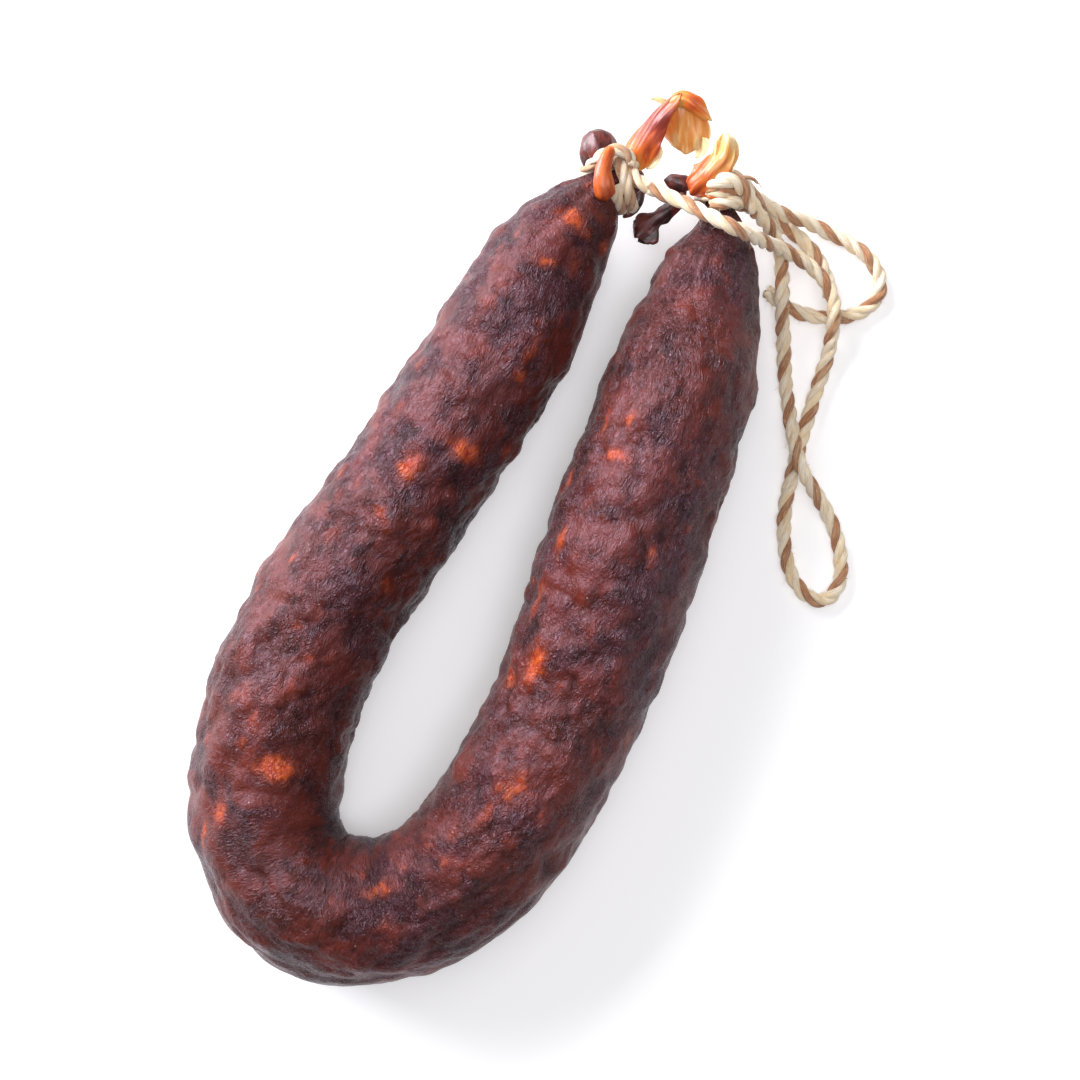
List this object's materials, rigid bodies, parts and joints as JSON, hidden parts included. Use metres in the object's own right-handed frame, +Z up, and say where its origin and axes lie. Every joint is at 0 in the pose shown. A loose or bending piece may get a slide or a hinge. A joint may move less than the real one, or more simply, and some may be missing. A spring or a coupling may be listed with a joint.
{
  "type": "chorizo",
  "caption": "Cured chorizo bent into a horseshoe and lying flat, both necks tied with two-tone twine that makes a hanging loop and a bow, with dried casing tails.",
  "frame": {"origin": "on the surface that the sausage lies on, under the middle of the sausage and its casing ends", "axes": "+Y runs from the bend to the tied necks, +X from the left leg to the right leg, +Z up off the surface"},
  "size_m": [0.1198, 0.2057, 0.0333],
  "materials": {
    "cured_skin": "satin, wrinkled, with a thin film of fat",
    "dark_casing": "satin, dried and creased",
    "amber_casing": "glossy, dried, slightly see-through",
    "twine": "matt three-ply twist, two plies cream and one brown"
  },
  "bodies": {
    "root": {"sausage": "cured_skin", "tie_left": "twine", "tie_right": "twine", "casing_tail_left": "amber_casing", "casing_tail_right": "amber_casing", "casing_flap_left": "dark_casing", "casing_fold_left": "dark_casing", "casing_tab_left": "amber_casing", "casing_flap_right": "dark_casing", "twine_loop": "twine", "twine_bow": "twine", "twine_tuck": "twine"}
  },
  "joints": []
}
